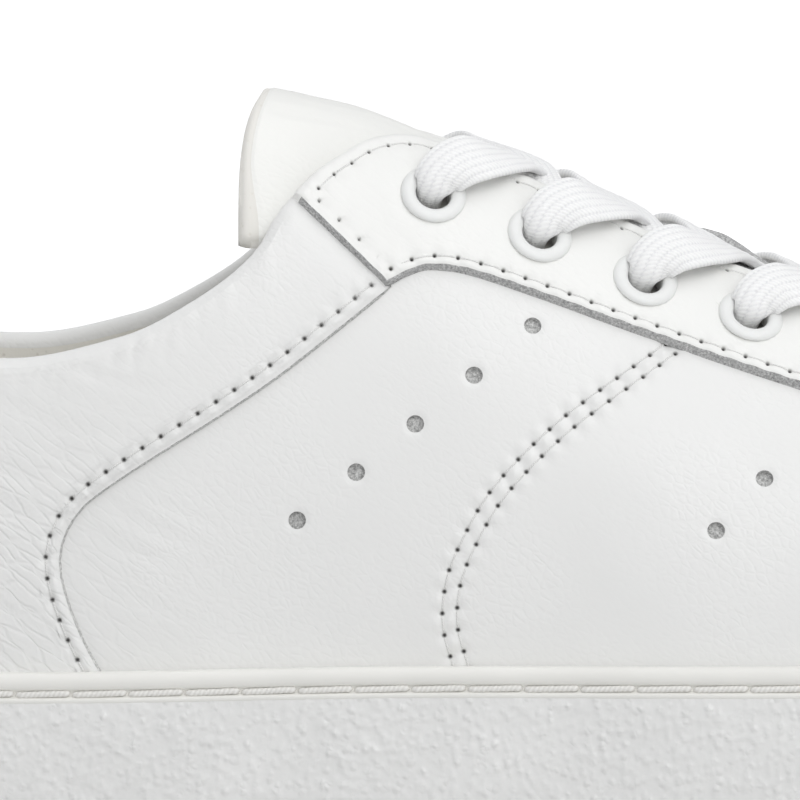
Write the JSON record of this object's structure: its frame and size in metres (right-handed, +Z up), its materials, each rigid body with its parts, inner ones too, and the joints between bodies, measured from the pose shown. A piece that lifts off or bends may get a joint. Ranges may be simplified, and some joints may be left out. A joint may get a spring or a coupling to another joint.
{
  "type": "low-top leather barefoot sneaker",
  "caption": "White full-grain leather low-top sneaker on a flat wide last, with a textured stitched cup sole, raised eyestay and heel quarter, ring eyelets, tongue and flat laces.",
  "frame": {"origin": "on the ground under the middle of the shoe's bounding box", "axes": "+X toward the toe, -Y toward the lateral (outer) side of this right shoe, +Z up"},
  "size_m": [0.29, 0.1058, 0.1039],
  "materials": {
    "cream_rubber": "matt off-white rubber, pebbled wall and smooth rib",
    "insole_textile": "short-pile beige-grey textile over thin foam",
    "white_leather": "soft white full-grain leather with a fine grain and low sheen",
    "facing_leather": "white full-grain leather overlay with raw grey cut edges",
    "tongue_leather": "soft white leather with fine lengthwise wrinkles",
    "enamel": "glossy white enamelled rings",
    "lace_cotton": "flat woven bright white lace"
  },
  "bodies": {
    "root": {"cup_sole": "cream_rubber", "insole": "insole_textile", "upper": "white_leather", "tongue": "tongue_leather", "eyestay": "facing_leather", "heel_quarter": "facing_leather", "eyelet_lateral_1": "enamel", "eyelet_lateral_2": "enamel", "eyelet_lateral_3": "enamel", "eyelet_lateral_4": "enamel", "eyelet_lateral_5": "enamel", "eyelet_lateral_6": "enamel", "eyelet_medial_1": "enamel", "eyelet_medial_2": "enamel", "eyelet_medial_3": "enamel", "eyelet_medial_4": "enamel", "eyelet_medial_5": "enamel", "eyelet_medial_6": "enamel", "lace_bar": "lace_cotton", "lace_crossing_1": "lace_cotton", "lace_crossing_2": "lace_cotton", "lace_crossing_3": "lace_cotton", "lace_crossing_4": "lace_cotton", "lace_crossing_5": "lace_cotton"}
  },
  "joints": []
}
